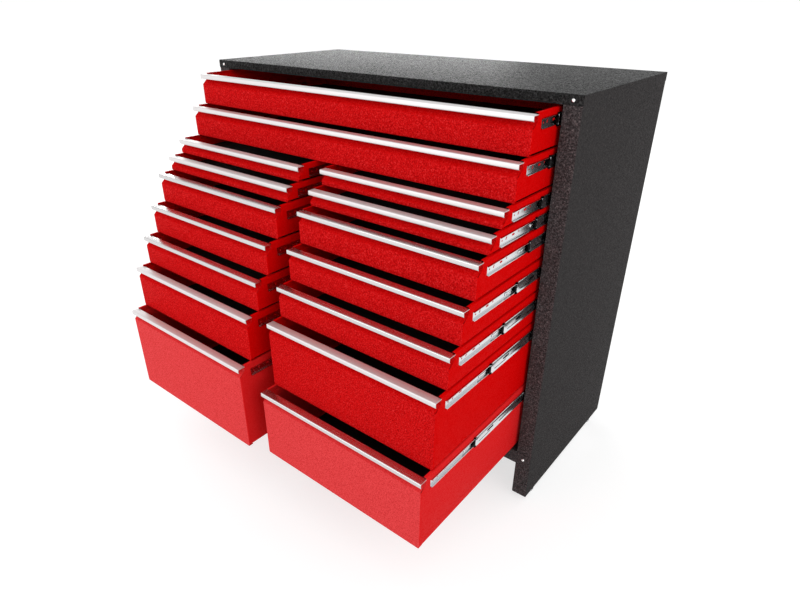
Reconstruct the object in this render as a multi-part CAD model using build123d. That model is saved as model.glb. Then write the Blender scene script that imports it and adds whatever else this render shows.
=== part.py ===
# Steel tool chest: two full-width drawers over two columns of seven, on ball-bearing slides.
# Millimetres, X to the right, Y to the back, Z up.
# Cabinet parts are drawn with Y from the plane of the stiles and Z from the ends of the legs.
# Drawer parts are drawn with X from the drawer's middle, Y from its face and Z from the pull's
# lower edge, and are then carried to their bay and out by their opening.
import os

from build123d import *

# Cabinet
cabinet_width = 1400.0
cabinet_sheet = 1.2
stile_width = 51.0
stile_return = 70.0
centre_stile_width = 48.0
leg_clearance = 127.0
rail_height = 46.2
rail_return = 18.0
lip_height = 26.0
lip_return = 12.0
top_gap = 10.0
shelf_clearance = 3.2

# Drawer stack: distance from the lower edge of a pull to that of the pull below it
wide_rows = 2
shallow_rows = 2
deep_rows = 3
shallow_pitch = 50.8
deep_pitch = 101.6
left_sixth_pitch = 152.4
left_seventh_pitch = 304.8
right_sixth_pitch = 220.0

# Drawer tray
tray_sheet = 1.0
tray_slide_margin = 3.0
tray_rear_clearance = 23.0
front_gap = 5.5
bottom_gap = 17.0
front_drop = 6.0
front_return = 17.0
bend_drop = 19.5
slant_rise = 18.0
side_rise = 4.0
side_hem = 8.0

# Pull
pull_sheet = 1.5
pull_height = 14.0
pull_depth = 25.0
pull_proud = 3.4
pull_curl = 3.0
pull_end_overhang = 1.0
pull_flange = 12.0

# Slides
slide_gap = 10.0
slide_length = 560.0
slide_setback = 45.0
slide_sheet = 1.2
slide_play = 0.35
recess_depth = 4.0
recess_play = 0.75
recess_lead = 3.0
drawer_member_height = 24.5
drawer_member_depth = 7.0
middle_member_height = 34.5
middle_member_inset = 0.5
middle_member_depth = 4.7
cabinet_member_height = 45.5
cabinet_member_inset = 1.5
slide_drop_shallow = 11.0
slide_drop_deep = 17.5

# How far each drawer stands open
first_opening = 127.0
opening_step = 50.0
left_extra_opening = 25.0

# A middle member follows its drawer once the drawer is past the lag, and never by less than the share
middle_lag = 207.0
middle_least_share = 0.35

# Levelling feet and their bushes
foot_height = 26.0
foot_pad_radius = 25.0
foot_pad_height = 6.0
foot_cone_height = 7.0
foot_neck_radius = 9.0
foot_stem_radius = 5.0
foot_stem_rise = 36.0
foot_play = 0.05
foot_rest_gap = 0.3
foot_inset = 30.0
foot_front_setback = 72.0
foot_rear_setback = 72.0
bush_radius = 9.0
bush_height = 12.0
foot_plate_sheet = 4.0
foot_plate_length = 64.0

# Corner screws
screw_head_radius = 4.75
screw_head_height = 2.6
screw_shank_radius = 2.5
screw_shank_length = 9.0
screw_play = 0.1
screw_inset = 26.0
screw_lip_rise = 12.0

# Widths of the bays
half_width = cabinet_width / 2
side_opening = half_width - stile_width
centre_stile_half = centre_stile_width / 2
outer_side = side_opening - slide_gap
inner_side = centre_stile_half + slide_gap
column_half = (outer_side - inner_side) / 2
column_centre = (outer_side + inner_side) / 2

# Heights of the cabinet
upper_pitches = [shallow_pitch] * shallow_rows + [deep_pitch] * deep_rows
left_pitches = upper_pitches + [left_sixth_pitch, left_seventh_pitch]
right_seventh_pitch = left_sixth_pitch + left_seventh_pitch - right_sixth_pitch
right_pitches = upper_pitches + [right_sixth_pitch, right_seventh_pitch]
wide_pitches = [deep_pitch] * wide_rows
rail_top = leg_clearance + rail_height
columns_top = rail_top + sum(left_pitches)
first_pull = columns_top + sum(wide_pitches)
lip_bottom = first_pull + pull_height + top_gap
cabinet_height = lip_bottom + lip_height

# Depths: the slide sets the tray's, and the tray sets the cabinet's
slide_rear = slide_setback + slide_length
tray_depth = slide_rear + tray_slide_margin
cabinet_depth = tray_depth + tray_rear_clearance
rear_face = cabinet_depth - cabinet_sheet
rear_return = cabinet_depth - slide_rear + (stile_return - slide_setback)
pull_back = pull_depth - pull_proud

# The column front edge of the divider and the shelf clear the front of the drawer above them
column_front_bottom = columns_top + pull_height + front_gap
shelf_bottom = columns_top + pull_height + side_rise + shelf_clearance
shelf_setback = front_return + shelf_clearance


def block(x_span, y_span, z_span):
    """A box from its lowest to its highest corner."""
    sizes = [high - low for low, high in (x_span, y_span, z_span)]
    corner = (x_span[0], y_span[0], z_span[0])
    return Pos(*corner) * Box(*sizes, align=Align.MIN)


def unite(solids):
    """One solid out of overlapping pieces of sheet."""
    whole = solids[0]
    for solid in solids[1:]:
        whole = whole + solid
    return whole


def mirrored_pair(solid):
    """A piece for the left and its mirror image for the right."""
    return [solid, mirror(solid, about=Plane.YZ)]


def folded_outline(path, sheet):
    """Closed outline of a folded sheet: its outer face follows the path, its wall lies on the left."""
    points = [Vector(*point) for point in path]
    runs = [(end - start).normalized() for start, end in zip(points, points[1:])]
    normals = [Vector(-run.Y, run.X) for run in runs]
    inner = [points[0] + normals[0] * sheet]
    for corner, before, after in zip(points[1:], normals, normals[1:]):
        bisector = before + after
        inner.append(corner + bisector * (sheet / bisector.dot(before)))
    inner.append(points[-1] + normals[-1] * sheet)
    return make_face(Polyline(*points, *reversed(inner), close=True))


def fold_along_x(path, sheet, x_low, x_high):
    """A sheet folded along X, whose path is given as (y, z)."""
    face = Pos(x_low, 0, 0) * (Plane.YZ * folded_outline(path, sheet))
    return extrude(face, amount=x_high - x_low, dir=(1, 0, 0))


def fold_along_y(path, sheet, y_low, y_high):
    """A sheet folded along Y, whose path is given as (x, z)."""
    face = Pos(0, y_low, 0) * (Rot(90, 0, 0) * folded_outline(path, sheet))
    return extrude(face, amount=y_high - y_low, dir=(0, 1, 0))


def fold_along_z(path, sheet, z_low, z_high):
    """A sheet folded along Z, whose path is given as (x, y)."""
    face = Pos(0, 0, z_low) * folded_outline(path, sheet)
    return extrude(face, amount=z_high - z_low, dir=(0, 0, 1))


def screw_places():
    """Centres of the corner screws on the left half of the front, as (x, z)."""
    x = -(half_width - screw_inset)
    return [(x, lip_bottom + screw_lip_rise), (x, leg_clearance + rail_height / 2)]


def screw_holes(radius):
    """Drills for the corner screws on both sides."""
    drill = Rot(90, 0, 0) * Cylinder(radius, 4 * screw_shank_length)
    return [side for x, z in screw_places() for side in mirrored_pair(Pos(x, 0, z) * drill)]


def foot_places():
    """Centres of the feet as name and (x, y)."""
    x = half_width - foot_inset
    front = foot_front_setback
    rear = cabinet_depth - foot_rear_setback
    return {
        "foot_front_left": (-x, front),
        "foot_front_right": (x, front),
        "foot_back_left": (-x, rear),
        "foot_back_right": (x, rear),
    }


def side_panel(side):
    """Side sheet folded round both corners into stiles and legs, with plates for the feet.

    side is -1 for the left panel and 1 for the right.
    """
    path = [
        (side_opening, stile_return),
        (side_opening, 0),
        (half_width, 0),
        (half_width, rear_face),
        (side_opening, rear_face),
        (side_opening, cabinet_depth - rear_return),
    ]
    pieces = [fold_along_z(path, cabinet_sheet, 0, cabinet_height - cabinet_sheet)]
    bores = screw_holes(screw_shank_radius + screw_play)
    for x, y in foot_places().values():
        if x < 0:
            continue
        y_span = (y - foot_plate_length / 2, y + foot_plate_length / 2)
        plate_x = (side_opening + cabinet_sheet / 2, half_width - cabinet_sheet / 2)
        pieces.append(block(plate_x, y_span, (0, foot_plate_sheet)))
        bush = Cylinder(bush_radius, bush_height, align=(Align.CENTER, Align.CENTER, Align.MIN))
        pieces.append(Pos(x, y, 0) * bush)
        bores.append(Pos(x, y, 0) * Cylinder(foot_stem_radius + foot_play, 4 * bush_height))
    panel = unite(pieces) - bores
    return panel if side > 0 else mirror(panel, about=Plane.YZ)


def top_panel():
    """Top sheet with a lip down the front and the back."""
    path = [
        (cabinet_depth, lip_bottom),
        (cabinet_depth, cabinet_height),
        (-cabinet_sheet, cabinet_height),
        (-cabinet_sheet, lip_bottom),
    ]
    sheet = fold_along_x(path, cabinet_sheet, -half_width, half_width)
    hem = block(
        (-side_opening, side_opening),
        (-cabinet_sheet, lip_return),
        (lip_bottom, lip_bottom + cabinet_sheet),
    )
    return unite([sheet, hem]) - screw_holes(screw_shank_radius + screw_play)


def back_panel():
    """Flat sheet over the rear stiles, from the height of the rail up to the top panel's lip."""
    edge = half_width - cabinet_sheet
    return block((-edge, edge), (rear_face, cabinet_depth), (leg_clearance, lip_bottom))


def base_pan():
    """Floor of the cabinet, folded down in front into the rail over the toe space."""
    path = [
        (rear_face, rail_top),
        (-cabinet_sheet, rail_top),
        (-cabinet_sheet, leg_clearance),
        (rail_return, leg_clearance),
    ]
    pan = fold_along_x(path, cabinet_sheet, -side_opening, side_opening)
    edge = half_width - cabinet_sheet
    rail = block((-edge, edge), (-cabinet_sheet, 0), (leg_clearance, rail_top))
    return unite([pan, rail]) - screw_holes(screw_shank_radius + screw_play)


def divider_frame():
    """Centre divider with a hollow stile at the front and the back, under the cross shelf."""
    stile_top = column_front_bottom - shelf_clearance
    half = centre_stile_half
    front_path = [(-half, stile_return), (-half, 0), (half, 0), (half, stile_return)]
    rear_start = cabinet_depth - rear_return
    rear_path = [(half, rear_start), (half, rear_face), (-half, rear_face), (-half, rear_start)]
    front_stile = fold_along_z(front_path, cabinet_sheet, rail_top, stile_top)
    rear_stile = fold_along_z(rear_path, cabinet_sheet, rail_top, stile_top)
    web_x = (-cabinet_sheet / 2, cabinet_sheet / 2)
    low_web = block(web_x, (0, rear_face), (rail_top, stile_top))
    high_web = block(web_x, (shelf_setback, rear_face), (rail_top, shelf_bottom + cabinet_sheet))
    shelf = block(
        (-side_opening, side_opening),
        (shelf_setback, rear_face),
        (shelf_bottom, shelf_bottom + cabinet_sheet),
    )
    return unite([front_stile, rear_stile, low_web, high_web, shelf])


def screws():
    """Button-head screws at the corners of the front."""
    head = Cylinder(screw_head_radius, screw_head_height, align=(Align.CENTER, Align.CENTER, Align.MIN))
    rim = head.edges().group_by(Axis.Z)[-1]
    head = fillet(rim, screw_head_height * 0.8)
    shank_align = (Align.CENTER, Align.CENTER, Align.MAX)
    shank = Cylinder(screw_shank_radius, screw_shank_length, align=shank_align)
    screw = Rot(90, 0, 0) * unite([head, shank])
    placed = [Pos(x, -cabinet_sheet, z) * screw for x, z in screw_places()]
    return [side for one in placed for side in mirrored_pair(one)]


def foot():
    """Levelling foot: pad, cone and threaded stem, turned about Z, its pad's face at the floor."""
    floor = -foot_height
    shoulder = floor + foot_pad_height
    neck = shoulder + foot_cone_height
    points = [
        (0, floor),
        (foot_pad_radius, floor),
        (foot_pad_radius, shoulder),
        (foot_neck_radius, neck),
        (foot_neck_radius, -foot_rest_gap),
        (foot_stem_radius, -foot_rest_gap),
        (foot_stem_radius, foot_stem_rise),
        (0, foot_stem_rise),
    ]
    profile = make_face(Polyline(*points, close=True))
    return revolve(Plane.XZ * profile, axis=Axis.Z)


def front_skin(half, front_bottom):
    """Drawer front: bottom return, face, slant and riser behind the finger recess, pull flange."""
    flange_under = pull_height - pull_sheet - tray_sheet
    riser = pull_back - tray_sheet
    path = [
        (pull_back - pull_flange, flange_under),
        (riser, flange_under),
        (riser, slant_rise - bend_drop),
        (0, -bend_drop),
        (0, front_bottom),
        (front_return, front_bottom),
    ]
    return fold_along_x(path, tray_sheet, -half, half)


def tray(half, pitch, drop, lower_gap):
    """Drawer tray with its front, its floor, its back and two sides recessed for the slides."""
    front_bottom = lower_gap - pitch
    floor = front_bottom + front_drop
    plate_under = pull_height - pull_sheet
    top = pull_height + side_rise
    recess_half = drawer_member_height / 2 + recess_play
    recess_start = slide_setback - recess_lead
    side_path = [
        (half, floor),
        (half, -drop - recess_half),
        (half - recess_depth, -drop - recess_half),
        (half - recess_depth, -drop + recess_half),
        (half, -drop + recess_half),
        (half, top),
        (half - side_hem, top),
    ]
    flat_path = [(half, floor), (half, top), (half - side_hem, top)]
    wall = (half - tray_sheet, half)
    side = unite([
        block(wall, (0, pull_back), (floor, plate_under)),
        fold_along_y(flat_path, tray_sheet, pull_back, recess_start),
        fold_along_y(side_path, tray_sheet, recess_start, tray_depth),
        block(
            (half - recess_depth - tray_sheet, half),
            (recess_start - tray_sheet, recess_start),
            (-drop - recess_half - tray_sheet, -drop + recess_half + tray_sheet),
        ),
    ])
    bottom = block((-half, half), (0, tray_depth), (floor, floor + tray_sheet))
    back = block((-half, half), (tray_depth - tray_sheet, tray_depth), (floor, top))
    return unite([front_skin(half, front_bottom), bottom, back] + mirrored_pair(side))


def pull(half):
    """Bent pull: a lip with a curled lower edge and a plate over the tray's flange."""
    path = [
        (pull_back, pull_height),
        (-pull_proud, pull_height),
        (-pull_proud, 0),
        (pull_curl - pull_proud, 0),
    ]
    end = half + pull_end_overhang
    return fold_along_x(path, pull_sheet, -end, end)


def drawer_member(half, drop):
    """Channel fixed in the recess of the tray's right side."""
    low = half - recess_depth
    high = low + drawer_member_depth
    reach = drawer_member_height / 2
    path = [
        (high, reach - drop),
        (low, reach - drop),
        (low, -reach - drop),
        (high, -reach - drop),
    ]
    return fold_along_y(path, slide_sheet, slide_setback, slide_rear)


def lipped_channel(low, high, reach, lip_reach, drop):
    """Channel open towards the drawer, its lips turned in over the member that it holds."""
    path = [
        (low, -lip_reach - drop),
        (low, -reach - drop),
        (high, -reach - drop),
        (high, reach - drop),
        (low, reach - drop),
        (low, lip_reach - drop),
    ]
    return fold_along_y(path, slide_sheet, slide_setback, slide_rear)


def middle_member(half, drop):
    """Channel between the drawer member and the cabinet member, on the right."""
    low = half + middle_member_inset
    reach = middle_member_height / 2
    lip_reach = drawer_member_height / 2 + slide_play
    return lipped_channel(low, low + middle_member_depth, reach, lip_reach, drop)


def cabinet_member(half, drop):
    """Channel fixed to the stiles, on the right."""
    low = half + cabinet_member_inset
    reach = cabinet_member_height / 2
    lip_reach = middle_member_height / 2 + slide_play
    return lipped_channel(low, half + slide_gap, reach, lip_reach, drop)


def drawer_bays():
    """Every drawer: name, half width, middle, pull's lower edge, pitch, slide drop, gap, opening."""
    bays = []
    height = first_pull
    drop = slide_drop_shallow
    gap = pull_height + front_gap
    for row, pitch in enumerate(wide_pitches):
        opening = first_opening + row * opening_step
        bays.append(bay(f"wide_{row + 1}", outer_side, 0, height, pitch, drop, gap, opening))
        height -= pitch
    first_column_opening = first_opening + len(wide_pitches) * opening_step
    columns = [
        ("left", -column_centre, left_pitches, left_extra_opening),
        ("right", column_centre, right_pitches, 0),
    ]
    for name, centre, pitches, extra in columns:
        height = columns_top
        for row, pitch in enumerate(pitches):
            drop = slide_drop_shallow if row < shallow_rows else slide_drop_deep
            gap = pull_height + front_gap if row < len(pitches) - 1 else bottom_gap
            opening = first_column_opening + row * opening_step + extra
            label = f"{name}_{row + 1}"
            bays.append(bay(label, column_half, centre, height, pitch, drop, gap, opening))
            height -= pitch
    return bays


def bay(name, half, centre, height, pitch, drop, lower_gap, opening):
    """One drawer's values by name."""
    return {
        "name": name,
        "half": half,
        "centre": centre,
        "height": height,
        "pitch": pitch,
        "drop": drop,
        "lower_gap": lower_gap,
        "opening": opening,
        "middle_share": max(middle_least_share, (opening - middle_lag) / opening),
    }


bays = drawer_bays()
widest_opening = max(one["opening"] for one in bays)
front_y = (widest_opening + pull_proud - cabinet_depth) / 2


def write(name, solids):
    """Move a node's solids into the part's frame and write them."""
    place = Pos(0, front_y, foot_height)
    moved = [place * solid for solid in solids]
    shape = moved[0] if len(moved) == 1 else Compound(children=moved)
    export_step(shape, f"parts/{name}.step")


def write_cabinet():
    """Write the nodes that stand still, and the feet."""
    write("side_panel_left", [side_panel(-1)])
    write("side_panel_right", [side_panel(1)])
    write("top_panel", [top_panel()])
    write("back_panel", [back_panel()])
    write("base_pan", [base_pan()])
    write("divider_frame", [divider_frame()])
    write("corner_screws", screws())
    members = []
    for one in bays:
        for member in mirrored_pair(cabinet_member(one["half"], one["drop"])):
            members.append(Pos(one["centre"], 0, one["height"]) * member)
    write("cabinet_members", members)
    for name, (x, y) in foot_places().items():
        write(name, [Pos(x, y, 0) * foot()])


def write_drawer(one):
    """Write one drawer's tray, its pull with the drawer members, and its middle members."""
    half = one["half"]
    out = Pos(one["centre"], -one["opening"], one["height"])
    middle = Pos(one["centre"], -one["opening"] * one["middle_share"], one["height"])
    name = one["name"]
    write(f"{name}_tray", [out * tray(half, one["pitch"], one["drop"], one["lower_gap"])])
    members = mirrored_pair(drawer_member(half, one["drop"]))
    write(f"{name}_pull_and_members", [out * solid for solid in [pull(half)] + members])
    pair = mirrored_pair(middle_member(half, one["drop"]))
    write(f"{name}_middle_members", [middle * solid for solid in pair])


os.makedirs("parts", exist_ok=True)
write_cabinet()
for one in bays:
    write_drawer(one)
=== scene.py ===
# Steel tool chest: the looks of its black cabinet, sixteen red drawers, bright pulls and slides.
# Shapes are drawn in millimetres and put into the frame in metres.
# A drawer's shapes have X from its middle, Y from its face and Z from the lower edge of its pull.
import math

import bmesh
import bpy
from mathutils import Matrix, Vector


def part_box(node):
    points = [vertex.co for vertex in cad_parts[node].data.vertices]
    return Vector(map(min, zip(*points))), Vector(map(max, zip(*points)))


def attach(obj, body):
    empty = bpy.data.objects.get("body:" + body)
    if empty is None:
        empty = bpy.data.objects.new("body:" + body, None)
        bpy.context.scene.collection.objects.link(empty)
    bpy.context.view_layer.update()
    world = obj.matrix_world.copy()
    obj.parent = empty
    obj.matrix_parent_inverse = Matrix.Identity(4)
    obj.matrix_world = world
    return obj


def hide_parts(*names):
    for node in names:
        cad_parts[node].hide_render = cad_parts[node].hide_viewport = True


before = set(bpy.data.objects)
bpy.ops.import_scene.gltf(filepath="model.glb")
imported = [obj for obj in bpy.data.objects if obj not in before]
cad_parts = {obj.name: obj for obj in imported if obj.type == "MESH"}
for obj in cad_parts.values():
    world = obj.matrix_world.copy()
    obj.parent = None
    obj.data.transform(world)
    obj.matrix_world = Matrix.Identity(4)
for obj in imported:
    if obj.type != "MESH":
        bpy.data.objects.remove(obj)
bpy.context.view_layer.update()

MM = 0.001

# How near a vertex lies to a plane that it is taken to be on
TOUCH = 0.01

# A skin turns by at least this many degrees at any fold, and at a square one
FOLD = 28
SQUARE_FOLD = 60

# The least part of a face's normal along an axis, where it looks more or less that way, and straight
LOOKS_ALONG = 0.5
LOOKS_STRAIGHT = 0.99

# Shading is sharp where faces meet at more than this many degrees
SHARP_ANGLE = 32

# Points nearer than these are one, where a turned outline closes and where a plane cuts a skin
MERGE_DISTANCE = 0.001
CUT_DISTANCE = 0.0001

# Blender's wave texture turns through this many radians in a metre at a scale of 1
WAVE_RADIANS = 20

# Photograph: solved camera, in pixels of the 800 by 600 image, degrees and metres
PHOTO_WIDTH = 800
PHOTO_HEIGHT = 600
FOCAL_PIXELS = 586.04
CENTRE_PIXEL_X = 389.44
CENTRE_PIXEL_Y = 309.28
CAMERA_AZIMUTH = 39.178
CAMERA_ELEVATION = 28.041
CAMERA_ROLL = 0.028
CAMERA_PLACE = (1.2605, -1.4524, 1.5188)
SENSOR_WIDTH = 36

# Cabinet
CABINET_SHEET = 1.2
STILE_WIDTH = 51
STILE_RETURN = 70
CENTRE_STILE_WIDTH = 48
LEG_CLEARANCE = 127
RAIL_HEIGHT = 46.2
RAIL_RETURN = 18
LIP_HEIGHT = 26
LIP_RETURN = 12
SHELF_CLEARANCE = 3.2
CABINET_BEND = 2.2
REAR_RETURN = 51
SHELF_SETBACK = 20.2

# Feet
FOOT_SETBACK = 72
FOOT_INSET = 30
FOOT_PLATE = 64
FOOT_PLATE_SHEET = 4
NUT_RISE = 17
THREAD_START = 13
THREAD_PITCH = 1.6
THREAD_TURNS = 30
THREAD_CREST = 4.9
THREAD_ROOT = 4.3

# Screws
SCREW_INSET = 26
SCREW_RISE = 12
BACK_SCREW_PITCH = 140
BACK_SCREW_EDGE = 14
BACK_SCREW_HOLE = 9

# Turned outlines, as radius and height
BUSH_OUTLINE = [(5.2, 0.2), (8.4, 0.2), (9, 0.8), (9, 11.4), (8.4, 12), (5.6, 12), (5.2, 11.6), (5.2, 0.2)]
BUTTON_SCREW_OUTLINE = [(0, 0.9), (1.5, 0.9), (1.7, 2.3), (2.3, 2.6), (3.4, 2.2), (4.3, 1.4), (4.75, 0.4),
                        (4.6, 0), (0, 0)]
FLUSH_SCREW_OUTLINE = [(0, -0.9), (1.3, -0.9), (1.5, -0.1), (4.1, -0.05), (4.4, -0.3), (4.4, -1), (0, -1)]
FOOT_PAD_OUTLINE = [(0, 2), (24.2, 2), (25, 2.6), (25, 5.2), (24.2, 6), (17, 7.6), (10, 11.6), (8.2, 13),
                    (5, 13)]
STEM_END_OUTLINE = [(4.2, 61.5), (3.4, 62), (0, 62)]
NUT_OUTLINE = [(5, 0), (7.8, 0), (9, 0.8), (9, 6.2), (7.8, 7), (5, 7), (5, 0)]
SOLE_OUTLINE = [(0, 0), (23.4, 0), (24.6, 0.8), (24.6, 2.2), (0, 2.2)]

# Drawer trays
TRAY_SHEET = 1
FRONT_GAP = 5.5
FRONT_DROP = 6
FRONT_RETURN = 17
BEND_DROP = 19.5
SLANT_RISE = 18
SIDE_RISE = 4
SIDE_HEM = 8
CORNER_BEND = 2.6
TRAY_BEND = 1.6
RECESS_DEPTH = 4
RECESS_PLAY = 0.75
RECESS_LEAD = 3
RECESS_BEND = 1.1
BACK_HEM = 9

# The share of the band under the recess that a bend at its edge may take up
BAND_SHARE = 0.4

# Drawer liners
LINER_SHEET = 2.5
LINER_PLAY = 1
LINER_START = 24
LINER_END = 12

# Pulls
PULL_SHEET = 1.5
PULL_HEIGHT = 14
PULL_DEPTH = 25
PULL_PROUD = 3.4
PULL_CURL = 3
PULL_OVERHANG = 1
PULL_FLANGE = 12
PULL_BEND = 2.4

# Slides
SLIDE_SHEET = 1.2
SLIDE_LENGTH = 560
SLIDE_SETBACK = 45
SLIDE_GAP = 10
SLIDE_PLAY = 0.35
SLIDE_BEND = 1.5
DRAWER_MEMBER_HEIGHT = 24.5
DRAWER_MEMBER_DEPTH = 7
MIDDLE_MEMBER_HEIGHT = 34.5
MIDDLE_MEMBER_INSET = 0.5
MIDDLE_MEMBER_DEPTH = 4.7
MIDDLE_SHEET = 1
MIDDLE_RECESS = 0.9
MIDDLE_STEP_START = 3
MIDDLE_STEP_END = 4.5
CABINET_MEMBER_HEIGHT = 45.5
CABINET_MEMBER_INSET = 1.5

# Holes in the webs, as distance behind the member's front end, rise above its middle, length, width, tilt
DRAWER_MEMBER_HOLES = [(12, 1, 5, 5, 0), (32, 2, 9, 4.5, 60), (67, 2, 13, 5.5, 0), (94, 3, 5, 5, 0),
                       (300, 0, 13, 5.5, 0), (420, 0, 5, 5, 0), (535, 0, 13, 5.5, 0)]
MIDDLE_MEMBER_HOLES = [(50, -8, 64, 2.6, 0), (80, 1, 34, 7, 0), (150, -5, 40, 4, 0), (250, 0, 16, 7, 0),
                       (400, 0, 60, 4, 0), (520, 0, 16, 7, 0)]
CABINET_MEMBER_HOLES = [(20, 0, 9, 5, 0), (60, 6, 30, 9, 0), (120, 0, 5, 5, 0), (300, 0, 20, 9, 0),
                        (420, 6, 30, 9, 0), (540, 0, 9, 5, 0)]

# Release levers; a reach runs along the slide from the lever's start, a band up from the slide's middle
LEVER_START = 158
LEVER_REACH = (0, 40)
LEVER_BAND = (-4, 1)
LEVER_GAUGE = 1.6
PIVOT_REACH = (-4, 6)
PIVOT_BAND = (-5, 3)
PIVOT_GAUGE = 2.4

# End stops; a reach runs along the slide from the middle member's front end
STOP_REACH = (-10, 3)
STOP_BAND = (-10.5, 6)
STOP_DEPTH = 3.4
TIP_REACH = (-5, 4)
TIP_BAND = (-2.2, 2.2)
TIP_INSET = 2.4
INSERT_REACH = (62, 98)
INSERT_BAND = (-3, 5)
INSERT_SHEET = 0.5
INSERT_GAP = 0.4

# Sizes that follow from the others
TRAY_TOP = PULL_HEIGHT + SIDE_RISE
PLATE_UNDER = PULL_HEIGHT - PULL_SHEET
PULL_BACK = PULL_DEPTH - PULL_PROUD
RISER_SETBACK = PULL_BACK - TRAY_SHEET
RECESS_HALF = DRAWER_MEMBER_HEIGHT / 2 + RECESS_PLAY
RECESS_START = SLIDE_SETBACK - RECESS_LEAD

# Floor and light
FLOOR_SIZE = 400
FLOOR_LIFT = 0.67
WORLD_LEVEL = 0.82

# Drawers whose front has painted floor light, a paler red, and drawers whose pull is polished
PAINTED_FLOOR_LIGHT_TRAYS = ("left_7", "right_7")
POLISHED_PULLS = ("left_3", "left_4", "left_5", "right_3", "right_4", "right_5", "right_7")


# Colours and nodes

def linear(code):
    """An sRGB hex colour as linear RGBA."""
    channels = [int(code[place:place + 2], 16) / 255 for place in (1, 3, 5)]
    return [level / 12.92 if level <= 0.04045 else ((level + 0.055) / 1.055) ** 2.4
            for level in channels] + [1]


def add(owner, kind, settings=None, **inputs):
    """Adds a node to a material or the world; an input is a value, or the output of another node."""
    tree = owner.node_tree
    made = tree.nodes.new(kind)
    for name, value in (settings or {}).items():
        setattr(made, name, value)
    for name, value in inputs.items():
        key = name.replace("_", " ")
        socket = made.inputs[int(key[2:])] if key.startswith("at") else made.inputs[key]
        if isinstance(value, bpy.types.NodeSocket):
            tree.links.new(value, socket)
        else:
            socket.default_value = value
    return made


def new_material(name):
    """An empty node material."""
    material = bpy.data.materials.new(name)
    material.use_nodes = True
    material.node_tree.nodes.clear()
    return material


def finish_with(material, shader):
    """Links the shader to the material's output."""
    add(material, "ShaderNodeOutputMaterial", Surface=shader.outputs[0])
    return material


def painted_front_light_share(material):
    """Mask of painted front light: 1 on faces that look to the front, a little on the others."""
    normal = add(material, "ShaderNodeTexCoord").outputs["Normal"]
    along = add(material, "ShaderNodeSeparateXYZ", Vector=normal)
    return add(material, "ShaderNodeMapRange", Value=along.outputs["Y"], From_Min=-0.6, From_Max=-0.9,
               To_Min=0.2).outputs[0]


def textured_powder(name, base, painted_pit_shade, painted_highlight, grit_mm, depth_mm, gloss, roughness, side_colour_for_painted_front_light=None):
    """Powder coat, sprayed and baked to a leathery skin, its grain given painted shade in the hollows and
    painted highlights on the raised tops.

    Such grit is usually under a millimetre wide; it is drawn coarser and deeper, so that it shows.
    With a side colour, the front faces keep this painted grain light and are painted lighter, and the others
    are near that colour.
    """
    material = new_material(name)
    place = add(material, "ShaderNodeTexCoord").outputs["Object"]
    grain = add(material, "ShaderNodeTexNoise", Vector=place, Scale=1 / (grit_mm * MM), Detail=3,
                Roughness=0.65, Distortion=0.8).outputs[0]
    domes = add(material, "ShaderNodeMapRange", {"interpolation_type": "SMOOTHSTEP"}, Value=grain,
                From_Min=0.38, From_Max=0.54).outputs[0]
    painted_highlight_mask = add(material, "ShaderNodeMapRange", {"interpolation_type": "SMOOTHSTEP"}, Value=grain,
                 From_Min=0.54, From_Max=0.68).outputs[0]
    # Painted shade in the grain's hollows and painted highlights on its raised tops
    ground = add(material, "ShaderNodeMix", {"data_type": "RGBA"}, Factor=domes, at6=linear(painted_pit_shade),
                 at7=linear(base))
    painted_highlight_mix = add(material, "ShaderNodeMix", {"data_type": "RGBA"}, Factor=painted_highlight_mask, at6=ground.outputs[2],
               at7=linear(painted_highlight))
    colour = painted_highlight_mix.outputs[2]
    relief = add(material, "ShaderNodeBump", Strength=1, Distance=depth_mm * MM, Height=grain)
    # Painted light: the front faces lighter, the other faces near the side colour
    if side_colour_for_painted_front_light:
        colour = add(material, "ShaderNodeMix", {"data_type": "RGBA"}, Factor=painted_front_light_share(material),
                     at6=linear(side_colour_for_painted_front_light), at7=colour).outputs[2]
    dull = add(material, "ShaderNodeMapRange", Value=domes, To_Min=min(roughness * 1.8, 1),
               To_Max=roughness * 0.85)
    shader = add(material, "ShaderNodeBsdfPrincipled", Base_Color=colour, Roughness=dull.outputs[0],
                 Specular_IOR_Level=gloss, Normal=relief.outputs[0])
    return finish_with(material, shader)


def red_powder_coat():
    """Red textured powder coat: a strong red; on the front faces painted shade and highlights in its grain and
    a paler painted sheen, the others near a plain deep red.
    """
    return textured_powder("red_textured_powder_coat", base="#DA1214", painted_pit_shade="#AC080A", painted_highlight="#E83436",
                           grit_mm=3.6, depth_mm=1.3, gloss=0.005, roughness=0.38, side_colour_for_painted_front_light="#D40000")


def red_coat_with_painted_floor_light():
    """The same red with painted floor light: front faces painted paler, as light from the pale floor falls on
    the bottom drawers.
    """
    return textured_powder("red_powder_coat_painted_floor_light", base="#EA4648", painted_pit_shade="#D63436", painted_highlight="#F05456",
                           grit_mm=3.6, depth_mm=1.2, gloss=0.005, roughness=0.38, side_colour_for_painted_front_light="#DC1012")


def black_powder_coat():
    """Black textured powder coat: charcoal, hardly shiny; its front faces painted lighter, with painted shade
    and highlights in the grain, the others a plainer darker charcoal.
    """
    return textured_powder("black_textured_powder_coat", base="#4A4546", painted_pit_shade="#2E2A2A", painted_highlight="#766C6C",
                           grit_mm=3.6, depth_mm=1.6, gloss=0.003, roughness=0.45, side_colour_for_painted_front_light="#343333")


def top_powder_coat():
    """The black coat of the top, whose flatter domes shine more where they are seen at a low angle, with
    painted shade and highlights in its grain.
    """
    return textured_powder("black_satin_powder_coat", base="#262626", painted_pit_shade="#101010", painted_highlight="#404040",
                           grit_mm=4.5, depth_mm=1.6, gloss=0.09, roughness=0.5)


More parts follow.
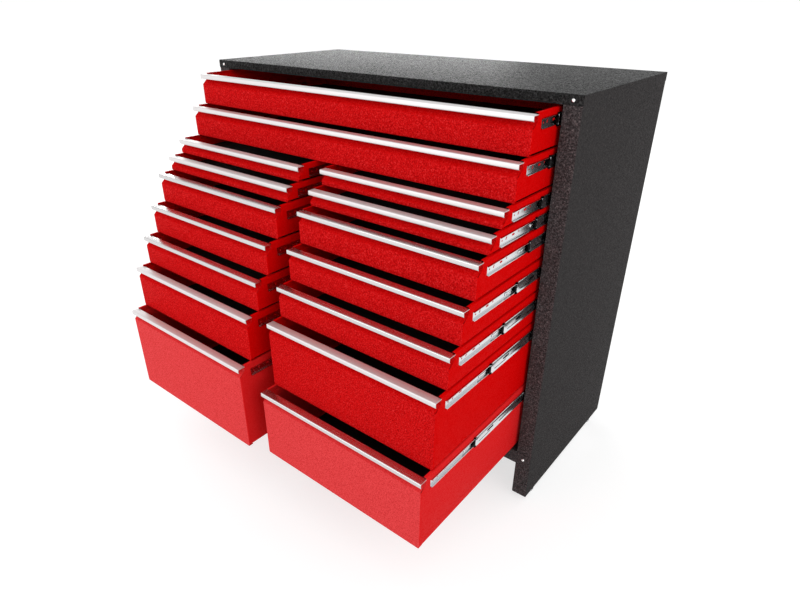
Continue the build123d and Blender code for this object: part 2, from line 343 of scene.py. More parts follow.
def rolled_steel(name, base, roughness, streak_mm, stretch):
    """Bright rolled steel, bare or plated: faint streaks along the strip vary how far it mirrors.

    Real roll marks are hair-fine; they are drawn wider, so that they show.
    """
    material = new_material(name)
    place = add(material, "ShaderNodeTexCoord").outputs["Object"]
    stretched = add(material, "ShaderNodeMapping", Vector=place, Scale=stretch)
    streaks = add(material, "ShaderNodeTexNoise", Vector=stretched.outputs[0],
                  Scale=1 / (streak_mm * MM), Detail=3)
    rough = add(material, "ShaderNodeMapRange", Value=streaks.outputs[0], To_Min=roughness * 0.85,
                To_Max=roughness * 1.15)
    shader = add(material, "ShaderNodeBsdfPrincipled", Base_Color=linear(base), Metallic=1,
                 Roughness=rough.outputs[0])
    return finish_with(material, shader)


def ribbed_rubber(rib_mm):
    """Moulded rubber mat: matt black with fine ribs across the drawer."""
    material = new_material("moulded_black_rubber")
    place = add(material, "ShaderNodeTexCoord").outputs["Object"]
    ribs = add(material, "ShaderNodeTexWave", {"bands_direction": "Y"}, Vector=place,
               Scale=math.tau / (WAVE_RADIANS * rib_mm * MM))
    relief = add(material, "ShaderNodeBump", Strength=0.6, Distance=0.4 * MM, Height=ribs.outputs[0])
    shader = add(material, "ShaderNodeBsdfPrincipled", Base_Color=linear("#121112"), Roughness=0.8,
                 Normal=relief.outputs[0])
    return finish_with(material, shader)


def black_nylon(grain_mm):
    """Moulded black nylon: near black and dull, with a fine grain, drawn coarser so that it shows."""
    material = new_material("moulded_black_nylon")
    place = add(material, "ShaderNodeTexCoord").outputs["Object"]
    grain = add(material, "ShaderNodeTexNoise", Vector=place, Scale=1 / (grain_mm * MM), Detail=1)
    relief = add(material, "ShaderNodeBump", Strength=0.4, Distance=0.05 * MM, Height=grain.outputs[0])
    shader = add(material, "ShaderNodeBsdfPrincipled", Base_Color=linear("#030303"), Roughness=0.6,
                 Specular_IOR_Level=0.05, Normal=relief.outputs[0])
    return finish_with(material, shader)


ALONG_PULL = (0.04, 1, 1)
ALONG_SLIDE = (1, 0.04, 1)
RED = red_powder_coat()
# The red with painted floor light on its front faces, for the bottom drawers
PAINTED_FLOOR_LIGHT_RED = red_coat_with_painted_floor_light()
BLACK = black_powder_coat()
TOP_BLACK = top_powder_coat()
SATIN = rolled_steel("satin_bright_steel", "#DCD9D9", roughness=0.5, streak_mm=4, stretch=ALONG_PULL)
POLISHED = rolled_steel("polished_bright_steel", "#D0CECE", roughness=0.26, streak_mm=4, stretch=ALONG_PULL)
SCREW_STEEL = rolled_steel("polished_screw_steel", "#F2F1F0", roughness=0.1, streak_mm=0.6,
                           stretch=ALONG_SLIDE)
ZINC = rolled_steel("bright_zinc_plated_steel", "#DADBDD", roughness=0.18, streak_mm=3, stretch=ALONG_SLIDE)
RUBBER = ribbed_rubber(rib_mm=6.283)
NYLON = black_nylon(grain_mm=0.8)


# Measures read from the frame

class Bay:
    """One drawer's measures."""

    def __init__(self, name):
        low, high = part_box(f"{name}_tray")
        middle_low, middle_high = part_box(f"{name}_middle_members")
        self.half = (high.x - low.x) / 2 / MM
        self.depth = (high.y - low.y) / MM
        lip = high.z - TRAY_TOP * MM
        self.place = Vector(((low.x + high.x) / 2, low.y, lip))
        self.floor = (low.z - lip) / MM + FRONT_DROP
        self.slide = ((middle_low.z + middle_high.z) / 2 - lip) / MM
        self.middle_lag = (middle_low.y - low.y) / MM
        self.under_recess = self.slide - RECESS_HALF - self.floor


class Cabinet:
    """The cabinet's measures; its shapes have X from its middle, Y from its front, Z from the legs' ends."""

    def __init__(self):
        low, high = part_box("side_panel_right")
        self.place = Vector((0, low.y, low.z))
        self.half = high.x / MM
        self.opening = low.x / MM
        self.rear = (high.y - low.y) / MM
        self.depth = self.rear + CABINET_SHEET
        self.height = (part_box("top_panel")[1].z - low.z) / MM
        self.lip_bottom = self.height - LIP_HEIGHT
        self.rail_top = (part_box("base_pan")[1].z - low.z) / MM
        self.shelf = (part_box("divider_frame")[1].z - low.z) / MM - CABINET_SHEET


# Sheet metal

DIRECTIONS = {
    "X": (Vector((1, 0, 0)), Vector((0, 1, 0)), Vector((0, 0, 1))),
    "Y": (Vector((0, 1, 0)), Vector((1, 0, 0)), Vector((0, 0, 1))),
    "Z": (Vector((0, 0, 1)), Vector((1, 0, 0)), Vector((0, 1, 0))),
}


def only(kind, parts):
    """The vertices, edges or faces among an operator's results."""
    return [part for part in parts if isinstance(part, kind)]


def skin(path, axis, low, high):
    """Outer skin of a folded sheet: the path drawn along an axis, facing to the path's right."""
    along, across, up = DIRECTIONS[axis]
    shell = bmesh.new()
    verts = [shell.verts.new(across * right + up * rise + along * low) for right, rise in path]
    edges = [shell.edges.new(ends) for ends in zip(verts, verts[1:])]
    grown = bmesh.ops.extrude_edge_only(shell, edges=edges)["geom"]
    bmesh.ops.translate(shell, verts=only(bmesh.types.BMVert, grown), vec=along * (high - low))
    shell.normal_update()
    run = Vector(path[1]) - Vector(path[0])
    outward = across * run.y - up * run.x
    if verts[0].link_faces[0].normal.dot(outward) < 0:
        bmesh.ops.reverse_faces(shell, faces=shell.faces[:])
        shell.normal_update()
    return shell


def bend(shell, radius, edges, steps=4):
    """Rounds the folds of a skin."""
    bmesh.ops.bevel(shell, geom=edges, offset=radius, offset_type="OFFSET", segments=steps, profile=0.5,
                    affect="EDGES", clamp_overlap=False, material=-1)
    shell.normal_update()


def folds(shell, least=FOLD):
    """The edges where a skin turns by more than an angle in degrees."""
    return [edge for edge in shell.edges
            if len(edge.link_faces) == 2 and edge.calc_face_angle() > math.radians(least)]


def thicken(shell, gauge):
    """Gives a skin its wall, on the inner side."""
    bmesh.ops.solidify(shell, geom=shell.faces[:], thickness=gauge)
    shell.normal_update()
    return shell


def folded(path, axis, low, high, gauge, radius):
    """A folded sheet with rounded bends; its outer face follows the path, its wall lies on the left."""
    shell = skin(path, axis, low, high)
    bend(shell, radius, folds(shell))
    return thicken(shell, gauge)


def block(across, along, up, edge, steps=1):
    """A block given by its span in X, in Y and in Z, with its edges broken."""
    low, high = (Vector(corner) for corner in zip(across, along, up))
    shell = bmesh.new()
    bmesh.ops.create_cube(shell, size=1)
    bmesh.ops.scale(shell, vec=high - low, verts=shell.verts)
    bmesh.ops.translate(shell, vec=(high + low) / 2, verts=shell.verts)
    bmesh.ops.bevel(shell, geom=shell.edges[:], offset=edge, offset_type="OFFSET", segments=steps,
                    profile=0.5, affect="EDGES", clamp_overlap=True, material=-1)
    return shell


def span(place, reach):
    """A reach moved to its place."""
    return place + reach[0], place + reach[1]


def turned(outline, centre=(0, 0, 0), steps=24, tilt=0):
    """A solid turned round its axis from an outline; the tilt lays that axis over, round X."""
    shell = bmesh.new()
    verts = [shell.verts.new((radius, 0, height)) for radius, height in outline]
    edges = [shell.edges.new(ends) for ends in zip(verts, verts[1:])]
    bmesh.ops.spin(shell, geom=verts + edges, cent=(0, 0, 0), axis=(0, 0, 1), angle=math.tau, steps=steps,
                   use_merge=True)
    bmesh.ops.remove_doubles(shell, verts=shell.verts, dist=MERGE_DISTANCE)
    bmesh.ops.recalc_face_normals(shell, faces=shell.faces)
    place = Matrix.Translation(centre) @ Matrix.Rotation(math.radians(tilt), 4, "X")
    bmesh.ops.transform(shell, matrix=place, verts=shell.verts)
    return shell


def join(shells):
    """Several shells as one."""
    whole = bmesh.new()
    for shell in shells:
        loose = bpy.data.meshes.new("loose")
        shell.to_mesh(loose)
        shell.free()
        whole.from_mesh(loose)
        bpy.data.meshes.remove(loose)
    return whole


def mirrored(shell):
    """The mirror image of a shell across X = 0."""
    twin = shell.copy()
    bmesh.ops.scale(twin, vec=(-1, 1, 1), verts=twin.verts)
    bmesh.ops.reverse_faces(twin, faces=twin.faces)
    return twin


def both_sides(shell):
    """A shell and its mirror image."""
    return join([mirrored(shell), shell])


def cut(shell, axis, place):
    """Divides a skin's faces along a plane."""
    along = DIRECTIONS[axis][0]
    bmesh.ops.bisect_plane(shell, geom=shell.verts[:] + shell.edges[:] + shell.faces[:],
                           dist=CUT_DISTANCE, plane_co=along * place, plane_no=along)


def drop_faces(shell, unwanted):
    """Deletes the faces that a test picks."""
    shell.normal_update()
    bmesh.ops.delete(shell, geom=[face for face in shell.faces if unwanted(face)], context="FACES")


def open_edges(shell, test):
    """The open edges of a skin whose both ends pass a test."""
    return [edge for edge in shell.edges
            if len(edge.link_faces) == 1 and all(test(vert.co) for vert in edge.verts)]


def add_flange(shell, edges, step, radius=0):
    """Folds a flange out of open edges and returns the flange's own open edges."""
    grown = bmesh.ops.extrude_edge_only(shell, edges=edges)["geom"]
    fresh = only(bmesh.types.BMVert, grown)
    bmesh.ops.translate(shell, vec=step, verts=fresh)
    rim = [edge for edge in only(bmesh.types.BMEdge, grown) if all(vert in fresh for vert in edge.verts)]
    if radius:
        bend(shell, radius, edges, steps=3)
    return rim


def hole_outline(shell, plane_x, centre, length, width, tilt):
    """The rim of a round or slotted hole in a web that faces X; centre is (y, z)."""
    verts = bmesh.ops.create_circle(shell, cap_ends=False, segments=14, radius=width / 2,
                                    matrix=Matrix.Rotation(math.radians(90), 4, "Y"))["verts"]
    for vert in verts:
        vert.co.y += math.copysign((length - width) / 2, vert.co.y)
    bmesh.ops.transform(shell, matrix=Matrix.Translation((plane_x, *centre))
                        @ Matrix.Rotation(math.radians(tilt), 4, "X"), verts=verts)
    return list(dict.fromkeys(edge for vert in verts for edge in vert.link_edges))


def pierce(shell, holes, facing):
    """Cuts holes out of a sheet's web, the widest face that looks along X."""
    upright = [face for face in shell.faces if abs(face.normal.x) > LOOKS_STRAIGHT]
    web = max(upright, key=lambda face: face.calc_area())
    plane_x = web.verts[0].co.x
    rims = list(web.edges)
    bmesh.ops.delete(shell, geom=[web], context="FACES_ONLY")
    for hole in holes:
        rims += hole_outline(shell, plane_x, *hole)
    filled = bmesh.ops.triangle_fill(shell, use_beauty=True, use_dissolve=False, edges=rims)["geom"]
    plates = only(bmesh.types.BMFace, filled)
    shell.normal_update()
    bmesh.ops.reverse_faces(shell, faces=[face for face in plates if face.normal.x * facing < 0])
    shell.normal_update()


def piece(name, shell, body, material, place, replaced=()):
    """A finished piece: put in its place, smoothed up to its edges, riding on its body."""
    mesh = bpy.data.meshes.new(name)
    bmesh.ops.transform(shell, matrix=Matrix.Translation(place) @ Matrix.Scale(MM, 4), verts=shell.verts)
    shell.to_mesh(mesh)
    shell.free()
    mesh.polygons.foreach_set("use_smooth", [True] * len(mesh.polygons))
    mesh.set_sharp_from_angle(angle=math.radians(SHARP_ANGLE))
    mesh.materials.append(material)
    made = bpy.data.objects.new(name, mesh)
    bpy.context.scene.collection.objects.link(made)
    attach(made, body)
    if replaced:
        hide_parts(*replaced)


# Drawer trays

def tray_wall(bay):
    """Skin of the front and both sides, cut away over the front, the sides' ends cut back along the slant."""
    shell = skin([(-bay.half, bay.depth), (-bay.half, 0), (bay.half, 0), (bay.half, bay.depth)], "Z",
                 bay.floor, TRAY_TOP)
    for height in (bay.slide - RECESS_HALF, bay.slide + RECESS_HALF, -BEND_DROP, SLANT_RISE - BEND_DROP,
                   PLATE_UNDER):
        cut(shell, "Z", height)
    for distance in (PULL_BACK, RECESS_START):
        cut(shell, "Y", distance)

    def unwanted(face):
        spot = face.calc_center_median()
        if abs(face.normal.y) > LOOKS_ALONG:
            return spot.z > -BEND_DROP
        return spot.z > PLATE_UNDER and spot.y < PULL_BACK

    drop_faces(shell, unwanted)
    for vert in shell.verts:
        rise = vert.co.z + BEND_DROP
        if rise > TOUCH and vert.co.y < TOUCH:
            vert.co.y = CORNER_BEND + (RISER_SETBACK - CORNER_BEND) * min(rise / SLANT_RISE, 1)
    return shell


def sink_recesses(shell, bay):
    """Sinks the band of both sides that the drawer members lie in, out to the back, and rounds its edges."""
    for side in (-1, 1):
        recessed = [face for face in shell.faces if face.normal.x * side > LOOKS_ALONG
                    and abs(face.calc_center_median().z - bay.slide) < RECESS_HALF
                    and face.calc_center_median().y > RECESS_START]
        sunk = bmesh.ops.extrude_face_region(shell, geom=recessed)["geom"]
        bmesh.ops.translate(shell, vec=(-side * RECESS_DEPTH, 0, 0), verts=only(bmesh.types.BMVert, sunk))
        bmesh.ops.delete(shell, geom=[face for face in recessed if face.is_valid], context="FACES_ONLY")
    bmesh.ops.delete(shell, geom=[edge for edge in shell.edges if not edge.link_faces], context="EDGES")
    drop_faces(shell, lambda face: min(vert.co.y for vert in face.verts) > bay.depth - TOUCH)
    behind_front = [edge for edge in folds(shell) if min(vert.co.y for vert in edge.verts) > TOUCH]
    bend(shell, min(RECESS_BEND, bay.under_recess * BAND_SHARE), behind_front, steps=3)


def fold_front(shell, bay):
    """Rounds the front's corners and folds out the finger recess at its upper edge and the lip at its foot."""
    upright = [edge for edge in folds(shell) if max(vert.co.y for vert in edge.verts) < TOUCH]
    bend(shell, CORNER_BEND, upright, steps=5)
    face_top = open_edges(shell, lambda spot: abs(spot.z + BEND_DROP) < TOUCH and spot.y < TOUCH)
    slant_top = add_flange(shell, face_top, (0, RISER_SETBACK, SLANT_RISE), TRAY_BEND)
    for vert in {vert for edge in slant_top for vert in edge.verts}:
        if abs(vert.co.x) > bay.half - CORNER_BEND - TOUCH:
            vert.co.x = math.copysign(bay.half - TRAY_SHEET, vert.co.x)
    riser_rise = PLATE_UNDER - TRAY_SHEET - SLANT_RISE + BEND_DROP
    riser_top = add_flange(shell, slant_top, (0, 0, riser_rise), TRAY_BEND)
    add_flange(shell, riser_top, (0, PULL_BACK - PULL_FLANGE - RISER_SETBACK, 0), TRAY_BEND)
    face_foot = open_edges(shell, lambda spot: abs(spot.z - bay.floor) < TOUCH and spot.y < TOUCH)
    lip = add_flange(shell, face_foot, (0, 0, -FRONT_DROP))
    add_flange(shell, lip, (0, FRONT_RETURN, 0), TRAY_BEND)


def fold_sides(shell, bay):
    """Hems the sides' upper edges inwards and joins their feet by the floor."""
    for side in (-1, 1):
        rim = open_edges(shell, lambda spot: spot.z > TRAY_TOP - TOUCH and spot.x * side > 0)
        add_flange(shell, rim, (-side * SIDE_HEM, 0, 0), TRAY_BEND)
    sills = open_edges(shell, lambda spot: abs(spot.z - bay.floor) < TOUCH
                       and abs(spot.x) > bay.half - TOUCH and spot.y > CORNER_BEND - TOUCH)
    bmesh.ops.bridge_loops(shell, edges=sills)
    shell.normal_update()
    bend(shell, min(TRAY_BEND, bay.under_recess * BAND_SHARE), sills, steps=3)


def tray(bay):
    """Tray: one sheet bent round into front and sides, recessed for the slides, with floor and back."""
    shell = tray_wall(bay)
    sink_recesses(shell, bay)
    fold_front(shell, bay)
    fold_sides(shell, bay)
    thicken(shell, TRAY_SHEET)
    back_path = [(bay.depth, bay.floor), (bay.depth, TRAY_TOP), (bay.depth - BACK_HEM, TRAY_TOP)]
    inside = bay.half - TRAY_SHEET
    back = folded(back_path, "X", -inside, inside, TRAY_SHEET, TRAY_BEND)
    return join([shell, back])


def pull(bay):
    """Pull: one strip bent into a plate and a lip, whose lower edge curls under."""
    end = bay.half + PULL_OVERHANG
    path = [(PULL_BACK, PULL_HEIGHT), (-PULL_PROUD, PULL_HEIGHT), (-PULL_PROUD, 0),
            (PULL_CURL - PULL_PROUD, 0)]
    return folded(path, "X", -end, end, PULL_SHEET, PULL_BEND)


def liner(bay):
    """Rubber mat on the tray's floor."""
    half = bay.half - SIDE_HEM - LINER_PLAY
    under = bay.floor + TRAY_SHEET
    return block((-half, half), (LINER_START, bay.depth - LINER_END), (under, under + LINER_SHEET),
                 edge=0.8, steps=2)


# Slides

def channel(section, bay, start, holes, facing, gauge, least):
    """One member of the right slide: its section, with heights from the slide's middle, its web pierced."""
    shell = skin([(x, bay.slide + rise) for x, rise in section], "Y", start, start + SLIDE_LENGTH)
    bend(shell, SLIDE_BEND, folds(shell, least))
    pierce(shell, [((start + distance, bay.slide + rise), length, width, tilt)
                   for distance, rise, length, width, tilt in holes], facing)
    return thicken(shell, gauge)


def drawer_member(bay):
    """Channel in the recess of the tray's right side, open to the cabinet."""
    low = bay.half - RECESS_DEPTH
    high = low + DRAWER_MEMBER_DEPTH
    reach = DRAWER_MEMBER_HEIGHT / 2
    path = [(high, reach), (low, reach), (low, -reach), (high, -reach)]
    return channel(path, bay, SLIDE_SETBACK, DRAWER_MEMBER_HOLES, facing=-1, gauge=SLIDE_SHEET, least=FOLD)


def middle_member(bay):
    """Channel open to the drawer, its lips turned in over the drawer member, its web set back a little."""
    low = bay.half + MIDDLE_MEMBER_INSET
    high = low + MIDDLE_MEMBER_DEPTH
    web = high - MIDDLE_RECESS
    reach = MIDDLE_MEMBER_HEIGHT / 2
    lip = DRAWER_MEMBER_HEIGHT / 2 + SLIDE_PLAY
    path = [(low, -lip), (low, -reach), (high, -reach), (high, MIDDLE_STEP_START - reach),
            (web, MIDDLE_STEP_END - reach)]
    path += [(x, -rise) for x, rise in reversed(path)]
    return channel(path, bay, bay.middle_lag, MIDDLE_MEMBER_HOLES, facing=1, gauge=MIDDLE_SHEET,
                   least=SQUARE_FOLD)


def cabinet_member(bay):
    """Channel fixed inside the cabinet, its lips turned in over the middle member."""
    low = bay.half + CABINET_MEMBER_INSET
    high = bay.half + SLIDE_GAP
    reach = CABINET_MEMBER_HEIGHT / 2
    lip = MIDDLE_MEMBER_HEIGHT / 2 + SLIDE_PLAY
    path = [(low, -lip), (low, -reach), (high, -reach), (high, reach), (low, reach), (low, lip)]
    return channel(path, bay, SLIDE_SETBACK, CABINET_MEMBER_HOLES, facing=1, gauge=SLIDE_SHEET,
                   least=SQUARE_FOLD)


def release_lever(bay):
    """Slim pressed lever on the drawer member's web, with its pivot rivet."""
    low = bay.half - RECESS_DEPTH + SLIDE_SHEET
    start = SLIDE_SETBACK + LEVER_START
    stem = block((low, low + LEVER_GAUGE), span(start, LEVER_REACH), span(bay.slide, LEVER_BAND),
                 edge=0.5, steps=2)
    pivot = block((low, low + PIVOT_GAUGE), span(start, PIVOT_REACH), span(bay.slide, PIVOT_BAND),
                  edge=1.1, steps=2)
    return join([stem, pivot])


def end_stop(bay):
    """Black nylon latch in the mouth of the middle member, with a tip above and below it and an insert."""
    start = bay.middle_lag
    low = bay.half + MIDDLE_MEMBER_INSET
    high = low + MIDDLE_MEMBER_DEPTH
    reach = MIDDLE_MEMBER_HEIGHT / 2 - TIP_INSET
    insert_high = high - MIDDLE_RECESS - INSERT_GAP
    body = block((low, bay.half + STOP_DEPTH), span(start, STOP_REACH), span(bay.slide, STOP_BAND),
                 edge=1.2, steps=2)
    tips = [block((low, high), span(start, TIP_REACH), span(bay.slide + centre, TIP_BAND), edge=0.8,
                  steps=2) for centre in (-reach, reach)]
    insert = block((insert_high - INSERT_SHEET, insert_high), span(start, INSERT_REACH),
                   span(bay.slide, INSERT_BAND), edge=0.2)
    return join([body, insert] + tips)


# Cabinet sheets

def side_panel(cabinet):
    """Right side sheet, folded round both corners into stiles and legs, with its foot plates and bushes."""
    path = [(cabinet.opening, STILE_RETURN), (cabinet.opening, 0), (cabinet.half, 0),
            (cabinet.half, cabinet.rear), (cabinet.opening, cabinet.rear),
            (cabinet.opening, cabinet.depth - REAR_RETURN)]
    shells = [folded(path, "Z", 0, cabinet.height - CABINET_SHEET, CABINET_SHEET, CABINET_BEND)]
    for distance in (FOOT_SETBACK, cabinet.depth - FOOT_SETBACK):
        shells.append(block((cabinet.opening + CABINET_SHEET, cabinet.half - CABINET_SHEET),
                            (distance - FOOT_PLATE / 2, distance + FOOT_PLATE / 2), (0, FOOT_PLATE_SHEET),
                            edge=0.5, steps=2))
        shells.append(turned(BUSH_OUTLINE, (cabinet.half - FOOT_INSET, distance, 0)))
    return join(shells)


def top_panel(cabinet):
    """Top sheet with a lip down the front and the back, the front lip hemmed between the stiles."""
    path = [(cabinet.depth, cabinet.lip_bottom), (cabinet.depth, cabinet.height),
            (-CABINET_SHEET, cabinet.height), (-CABINET_SHEET, cabinet.lip_bottom)]
    shell = skin(path, "X", -cabinet.half, cabinet.half)
    for end in (-cabinet.opening, cabinet.opening):
        cut(shell, "X", end)
    bend(shell, CABINET_BEND, folds(shell))
    hem = open_edges(shell, lambda spot: spot.z < cabinet.lip_bottom + TOUCH and spot.y < 0
                     and abs(spot.x) < cabinet.opening + TOUCH)
    add_flange(shell, hem, (0, LIP_RETURN + CABINET_SHEET, 0))
    return thicken(shell, CABINET_SHEET)


def base_pan(cabinet):
    """Cabinet floor, folded down in front into the rail, which laps over both legs."""
    edge = cabinet.half - CABINET_SHEET
    shell = skin([(-CABINET_SHEET, cabinet.rail_top), (-CABINET_SHEET, LEG_CLEARANCE)], "X", -edge, edge)
    for end in (-cabinet.opening, cabinet.opening):
        cut(shell, "X", end)

    def between_legs(height):
        return open_edges(shell, lambda spot: abs(spot.z - height) < TOUCH
                          and abs(spot.x) < cabinet.opening + TOUCH)

    add_flange(shell, between_legs(cabinet.rail_top), (0, cabinet.rear + CABINET_SHEET, 0))
    add_flange(shell, between_legs(LEG_CLEARANCE), (0, RAIL_RETURN + CABINET_SHEET, 0))
    return thicken(shell, CABINET_SHEET)


def divider(cabinet):
    """Centre divider: a hollow stile in front and behind, the web between them and the cross shelf."""
    half = CENTRE_STILE_WIDTH / 2
    top = cabinet.shelf - SIDE_RISE - 2 * SHELF_CLEARANCE + FRONT_GAP
    rear_start = cabinet.depth - REAR_RETURN
    front = [(-half, STILE_RETURN), (-half, 0), (half, 0), (half, STILE_RETURN)]
    rear = [(half, rear_start), (half, cabinet.rear), (-half, cabinet.rear), (-half, rear_start)]
    stiles = [folded(path, "Z", cabinet.rail_top, top, CABINET_SHEET, CABINET_BEND)
              for path in (front, rear)]
    web = block((-CABINET_SHEET / 2, CABINET_SHEET / 2), (SHELF_SETBACK, cabinet.rear - CABINET_SHEET),
                (cabinet.rail_top, cabinet.shelf), edge=0.2)
    shelf = block((-cabinet.opening, cabinet.opening), (SHELF_SETBACK, cabinet.rear),
                  (cabinet.shelf, cabinet.shelf + CABINET_SHEET), edge=0.3)
    return join(stiles + [web, shelf])


def back_screw_places(cabinet):
    """Where the countersunk screws of the back panel sit, as (x, z)."""
    edge = cabinet.half - STILE_WIDTH / 2
    low, high = LEG_CLEARANCE + BACK_SCREW_EDGE, cabinet.lip_bottom - BACK_SCREW_EDGE
    rows = round((high - low) / BACK_SCREW_PITCH)
    columns = round(edge / BACK_SCREW_PITCH)
    upright = [(x, low + (high - low) * row / rows) for row in range(rows + 1) for x in (-edge, 0, edge)]
    level = [(side * edge * column / columns, z) for column in range(1, columns) for side in (-1, 1)
             for z in (low, high)]
    return upright + level


def back_panel(cabinet):
    """Flat sheet over the rear stiles, drilled for its countersunk screws."""
    edge = cabinet.half - CABINET_SHEET
    shell = skin([(0, LEG_CLEARANCE), (0, cabinet.lip_bottom)], "Y", -edge, edge)
    holes = [(place, BACK_SCREW_HOLE, BACK_SCREW_HOLE, 0) for place in back_screw_places(cabinet)]
    pierce(shell, holes, facing=1)
    thicken(shell, CABINET_SHEET)
    bmesh.ops.transform(shell, matrix=Matrix.Translation((0, cabinet.depth, 0))
                        @ Matrix.Rotation(math.radians(90), 4, "Z"), verts=shell.verts)
    return shell


# Screws and feet

def button_screws(cabinet):
    """Button-head screws with a round socket at the four corners of the front."""
    heights = (cabinet.lip_bottom + SCREW_RISE, LEG_CLEARANCE + RAIL_HEIGHT / 2)
    inset = cabinet.half - SCREW_INSET
    return join([turned(BUTTON_SCREW_OUTLINE, (side * inset, -CABINET_SHEET, height), steps=28, tilt=90)
                 for side in (-1, 1) for height in heights])


def flush_screws(cabinet):
    """Countersunk screws in the back panel, their dished heads level with the sheet."""
    return join([turned(FLUSH_SCREW_OUTLINE, (x, cabinet.depth, z), steps=14, tilt=-90)
                 for x, z in back_screw_places(cabinet)])


def foot_stem():
    """Levelling foot: a pad that rises in a cone to the threaded stem."""
    thread = []
    for turn in range(THREAD_TURNS):
        rise = THREAD_START + turn * THREAD_PITCH
        thread += [(THREAD_CREST, rise), (THREAD_ROOT, rise + THREAD_PITCH / 2)]
    return turned(FOOT_PAD_OUTLINE + thread + STEM_END_OUTLINE)


def foot_nut():
    """Hexagonal lock nut under the bush."""
    return turned(NUT_OUTLINE, (0, 0, NUT_RISE), steps=6)


def foot_sole():
    """Rubber sole of a levelling foot."""
    return turned(SOLE_OUTLINE, steps=32)


# The whole chest

def drawer(name, cabinet):
    """All pieces of one drawer."""
    bay = Bay(name)
    body = f"{name}_drawer"
    metal = POLISHED if name in POLISHED_PULLS else SATIN
    # The bottom drawers get the red with painted floor light on their fronts
    coat = PAINTED_FLOOR_LIGHT_RED if name in PAINTED_FLOOR_LIGHT_TRAYS else RED
    fixed = (bay.place.x, cabinet.place.y, bay.place.z)
    piece(f"{name}_tray_shell", tray(bay), body, coat, bay.place, [f"{name}_tray"])
    piece(f"{name}_pull_strip", pull(bay), body, metal, bay.place, [f"{name}_pull_and_members"])
    piece(f"{name}_drawer_members", both_sides(drawer_member(bay)), body, ZINC, bay.place,
          [f"{name}_pull_and_members"])
    piece(f"{name}_release_levers", both_sides(release_lever(bay)), body, ZINC, bay.place)
    piece(f"{name}_middle_channels", both_sides(middle_member(bay)), f"{name}_middle", ZINC, bay.place,
          [f"{name}_middle_members"])
    piece(f"{name}_end_stops", both_sides(end_stop(bay)), f"{name}_middle", NYLON, bay.place)
    piece(f"{name}_cabinet_channels", both_sides(cabinet_member(bay)), "cabinet", ZINC, fixed,
          ["cabinet_members"])
    piece(f"{name}_liner", liner(bay), body, RUBBER, bay.place)


def cabinet_body(cabinet):
    """The cabinet's sheets and screws."""
    parts = [
        ("side_sheet_right", side_panel(cabinet), BLACK, ["side_panel_right"]),
        ("side_sheet_left", mirrored(side_panel(cabinet)), BLACK, ["side_panel_left"]),
        ("top_sheet", top_panel(cabinet), TOP_BLACK, ["top_panel"]),
        ("base_sheet", base_pan(cabinet), BLACK, ["base_pan"]),
        ("divider_sheets", divider(cabinet), BLACK, ["divider_frame"]),
        ("back_sheet", back_panel(cabinet), BLACK, ["back_panel"]),
        ("button_screws", button_screws(cabinet), SCREW_STEEL, ["corner_screws"]),
        ("back_screws", flush_screws(cabinet), ZINC, []),
    ]
    for name, shell, material, replaced in parts:
        piece(name, shell, "cabinet", material, cabinet.place, replaced)


def levelling_foot(name):
    """One foot, standing on the floor under its node."""
    low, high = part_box(name)
    middle = (low + high) / 2
    stand = (middle.x, middle.y, 0)
    piece(f"{name}_stem", foot_stem(), name, ZINC, stand, [name])
    piece(f"{name}_nut", foot_nut(), name, ZINC, stand)
    piece(f"{name}_sole", foot_sole(), name, RUBBER, stand)


def chest():
    """Every piece of the chest."""
    cabinet = Cabinet()
    for name in ["wide_1", "wide_2"] + [f"{side}_{row}" for side in ("left", "right") for row in range(1, 8)]:
        drawer(name, cabinet)
    cabinet_body(cabinet)
    for name in ("foot_front_left", "foot_front_right", "foot_back_left", "foot_back_right"):
        levelling_foot(name)


# Floor, light and camera

def seen_rays(owner):
    """1 for rays from the camera and for those that a shiny or clear surface sends on."""
    paths = add(owner, "ShaderNodeLightPath")
    shiny = add(owner, "ShaderNodeMath", {"operation": "MAXIMUM"}, at0=paths.outputs["Is Camera Ray"],
                at1=paths.outputs["Is Glossy Ray"])
    return add(owner, "ShaderNodeMath", {"operation": "MAXIMUM"}, at0=shiny.outputs[0],
               at1=paths.outputs["Is Transmission Ray"]).outputs[0]


def pale_floor():
    """A pale floor that keeps a soft shadow and shows nearly white."""
    bpy.ops.mesh.primitive_plane_add(size=FLOOR_SIZE, location=(0, 0, 0))
    ground = bpy.context.object
    ground.name = "floor"
    material = new_material("pale_floor")
    seen = seen_rays(material)
    tone = add(material, "ShaderNodeMix", {"data_type": "RGBA"}, Factor=seen, at6=linear("#DADADA"),
               at7=linear("#B4B4B4"))
    diffuse = add(material, "ShaderNodeBsdfDiffuse", Color=tone.outputs[2])
    lift = add(material, "ShaderNodeMath", {"operation": "MULTIPLY"}, at0=seen, at1=FLOOR_LIFT)
    glow = add(material, "ShaderNodeEmission", Color=(1, 1, 1, 1), Strength=lift.outputs[0])
    shader = add(material, "ShaderNodeAddShader", at0=diffuse.outputs[0], at1=glow.outputs[0])
    finish_with(material, shader)
    ground.data.materials.append(material)


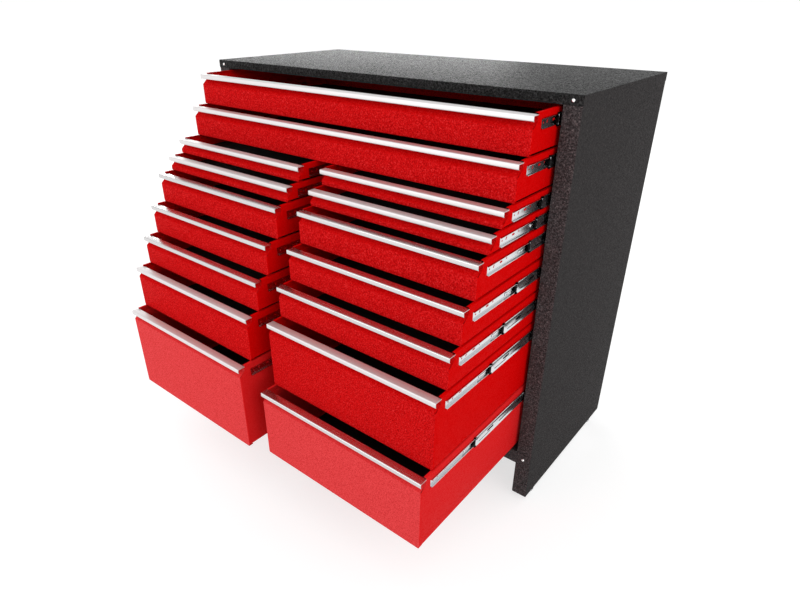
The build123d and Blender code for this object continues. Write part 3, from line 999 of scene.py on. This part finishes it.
def white_world():
    """A background that shows white, and lights the chest a little less than that."""
    world = bpy.data.worlds.new("studio")
    bpy.context.scene.world = world
    world.use_nodes = True
    world.node_tree.nodes.clear()
    strength = add(world, "ShaderNodeMapRange", Value=seen_rays(world), To_Min=WORLD_LEVEL, To_Max=1)
    back = add(world, "ShaderNodeBackground", Color=(1, 1, 1, 1), Strength=strength.outputs[0])
    add(world, "ShaderNodeOutputWorld", Surface=back.outputs[0])


def lamp(name, place, aim, size, watts):
    """A soft rectangular lamp, its size as width and height in metres."""
    data = bpy.data.lights.new(name, "AREA")
    data.shape = "RECTANGLE"
    data.size, data.size_y = size
    data.energy = watts
    made = bpy.data.objects.new(name, data)
    bpy.context.scene.collection.objects.link(made)
    made.location = place
    made.rotation_euler = (Vector(aim) - Vector(place)).to_track_quat("-Z", "Y").to_euler()


def camera():
    """The photograph's camera."""
    data = bpy.data.cameras.new("camera")
    data.sensor_width = SENSOR_WIDTH
    data.lens = FOCAL_PIXELS * SENSOR_WIDTH / PHOTO_WIDTH
    data.shift_x = (PHOTO_WIDTH / 2 - CENTRE_PIXEL_X) / PHOTO_WIDTH
    data.shift_y = (CENTRE_PIXEL_Y - PHOTO_HEIGHT / 2) / PHOTO_WIDTH
    made = bpy.data.objects.new("camera", data)
    bpy.context.scene.collection.objects.link(made)
    azimuth, elevation = math.radians(CAMERA_AZIMUTH), math.radians(CAMERA_ELEVATION)
    back = Vector((math.sin(azimuth) * math.cos(elevation), -math.cos(azimuth) * math.cos(elevation),
                   math.sin(elevation)))
    turn = (-back).to_track_quat("-Z", "Y").to_matrix().to_4x4()
    roll = Matrix.Rotation(math.radians(CAMERA_ROLL), 4, "Z")
    made.matrix_world = Matrix.Translation(CAMERA_PLACE) @ turn @ roll
    bpy.context.scene.camera = made


chest()
pale_floor()
white_world()
lamp("key", place=(-1.4, -4.2, 1.5), aim=(0, 0, 0.6), size=(3, 2.2), watts=39)
lamp("fill", place=(4.5, -1.0, 2.4), aim=(0, 0, 0.6), size=(4, 4), watts=60)
lamp("rim", place=(-4.8, 4.4, 1.95), aim=(-0.1, 0.2, 1.35), size=(5.6, 0.9), watts=150)
camera()
bpy.context.scene.view_settings.view_transform = "Standard"
